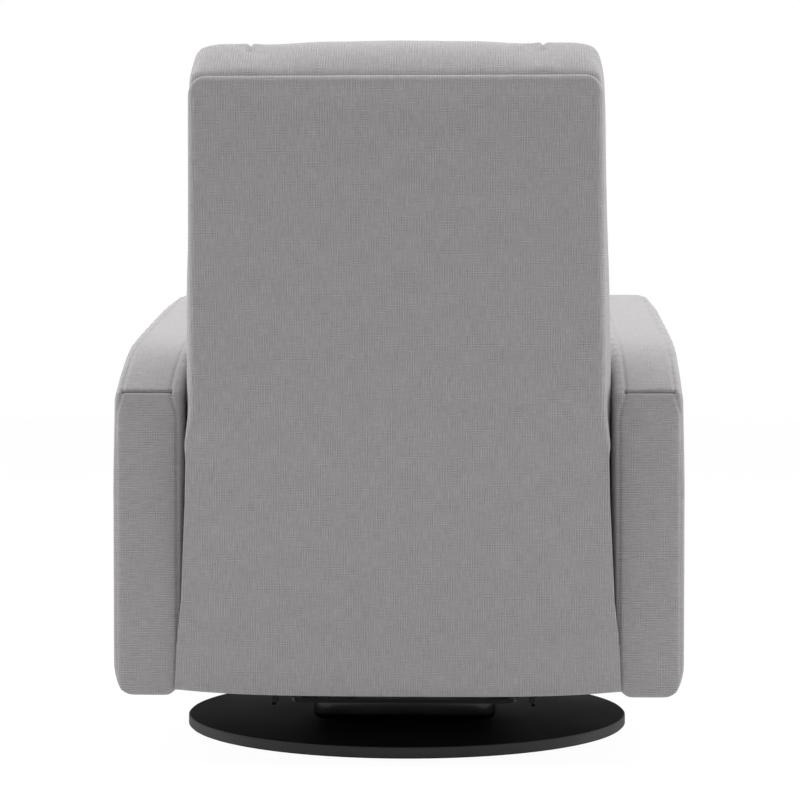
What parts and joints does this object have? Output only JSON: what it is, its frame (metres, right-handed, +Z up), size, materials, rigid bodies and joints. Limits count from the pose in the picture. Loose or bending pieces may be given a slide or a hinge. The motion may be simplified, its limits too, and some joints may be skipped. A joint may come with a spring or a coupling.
{
  "type": "swivel rocker recliner",
  "caption": "Upholstered swivel rocker recliner on a round black base, with a tall bolstered back, padded arms, a sliding seat and a fold-out footrest on scissor links.",
  "frame": {"origin": "on the floor under the swivel axis", "axes": "+Z up, -Y the way the sitter faces, +X to the sitter's left"},
  "size_m": [0.7663, 0.8877, 0.9738],
  "materials": {
    "fabric": "matt woven upholstery",
    "base_paint": "matt black painted board",
    "felt": "black felt",
    "gloss_black": "gloss black",
    "black_steel": "satin black",
    "bright_steel": "zinc plated",
    "spring_steel": "oiled spring steel",
    "nylon": "natural nylon",
    "wood": "bare plywood",
    "black_plastic": "fine grain"
  },
  "bodies": {
    "base": {"base_disc": "base_paint", "base_felt": "felt", "swivel_lower_race": "bright_steel", "swivel_balls": "bright_steel", "swivel_base_bolts": "bright_steel"},
    "carriage": {"swivel_pan": "gloss_black", "swivel_upper_race": "bright_steel", "king_bolt": "bright_steel", "carriage_plate": "black_steel", "carriage_bolts": "bright_steel", "rock_stands": "black_steel", "rock_shaft": "bright_steel", "shaft_collars": "bright_steel", "rock_springs": "spring_steel"},
    "chair": {"left_side_plate": "black_steel", "right_side_plate": "black_steel", "rock_bushes": "nylon", "spring_bars": "black_steel", "front_cross_tube": "black_steel", "rear_cross_tube": "black_steel", "rear_apron_rail": "wood", "left_arm_panel": "wood", "right_arm_panel": "wood", "left_arm_pad": "fabric", "right_arm_pad": "fabric", "arm_bolts": "bright_steel", "recline_bolts": "black_steel", "lower_back_flap": "fabric", "left_seat_runner": "black_steel", "right_seat_runner": "black_steel", "handle_cup": "black_plastic", "handle_pin": "bright_steel"},
    "seat": {"seat_side_rails": "black_steel", "seat_front_rail": "wood", "seat_rear_rail": "wood", "seat_glide_blocks": "nylon", "seat_glide_bolts": "bright_steel", "seat_springs": "spring_steel", "seat_cushion": "fabric", "footrest_mount_plates": "black_steel"},
    "drive": {"torque_tube": "black_steel", "drive_links": "black_steel", "drive_rivets": "bright_steel"},
    "cross": {"cross_links": "black_steel", "cross_rivets": "bright_steel"},
    "reach": {"reach_links": "black_steel", "reach_rivets": "bright_steel"},
    "carry": {"carry_links": "black_steel", "carry_rivets": "bright_steel"},
    "tilt": {"tilt_links": "black_steel"},
    "footrest": {"footrest_board": "wood", "footrest_brackets": "black_steel", "footrest_pad": "fabric"},
    "backrest": {"back_posts": "wood", "back_rails": "wood", "recline_bushes": "nylon", "back_springs": "spring_steel", "back_cushion": "fabric", "outside_back_panel": "fabric"},
    "handle": {"release_handle": "black_plastic"}
  },
  "joints": [
    {"name": "swivel", "type": "hinge", "parent": "base", "child": "carriage", "pos_m": [0, 0, 0], "axis": [0, 0, 1], "continuous": true},
    {"name": "rock", "type": "hinge", "parent": "carriage", "child": "chair", "pos_m": [0, 0, 0.092], "axis": [1, 0, 0], "range_deg": [-7, 7], "stiffness_Nm_per_rad": 480, "deforming": ["rock_springs"]},
    {"name": "recline", "type": "hinge", "parent": "chair", "child": "backrest", "pos_m": [0, 0.365, 0.47], "axis": [-1, 0, 0], "range_deg": [0, 32]},
    {"name": "seat_slide", "type": "slide", "parent": "chair", "child": "seat", "axis": [0, -1, 0], "range_m": [0, 0.0655]},
    {"name": "footrest_drive", "type": "hinge", "parent": "seat", "child": "drive", "pos_m": [0, -0.24, 0.236], "axis": [-1, 0, 0], "range_deg": [0, 63]},
    {"name": "first_cross", "type": "hinge", "parent": "drive", "child": "cross", "pos_m": [0, -0.2648, 0.16787], "axis": [-1, 0, 0], "range_deg": [-126.5, 0]},
    {"name": "first_lower", "type": "hinge", "parent": "drive", "child": "carry", "pos_m": [0, -0.28959, 0.09975], "axis": [-1, 0, 0], "range_deg": [-126.5, 0]},
    {"name": "first_upper", "type": "hinge", "parent": "cross", "child": "reach", "pos_m": [0, -0.26985, 0.2402], "axis": [-1, 0, 0], "range_deg": [0, 126.5]},
    {"name": "board_pivot", "type": "hinge", "parent": "carry", "child": "footrest", "pos_m": [0, -0.29971, 0.24439], "axis": [-1, 0, 0], "range_deg": [0, 153.5]},
    {"name": "tilt_pivot", "type": "hinge", "parent": "reach", "child": "tilt", "pos_m": [0, -0.31945, 0.10394], "axis": [-1, 0, 0], "range_deg": [-115, 0]},
    {"name": "handle_flip", "type": "hinge", "parent": "chair", "child": "handle", "pos_m": [-0.376, -0.1875, 0.442], "axis": [0, 0, -1], "range_deg": [0, 40], "stiffness_Nm_per_rad": 0.6, "springref_deg": -8.59}
  ],
  "couplings": [
    {"joint": "seat_slide", "follows": "recline", "m_per_rad": 0.11638},
    {"joint": "first_cross", "follows": "footrest_drive", "ratio": -2},
    {"joint": "first_lower", "follows": "footrest_drive", "ratio": -2},
    {"joint": "first_upper", "follows": "footrest_drive", "ratio": 2},
    {"joint": "board_pivot", "follows": "footrest_drive", "ratio": 2.4286},
    {"joint": "tilt_pivot", "follows": "footrest_drive", "ratio": -1.8175}
  ]
}
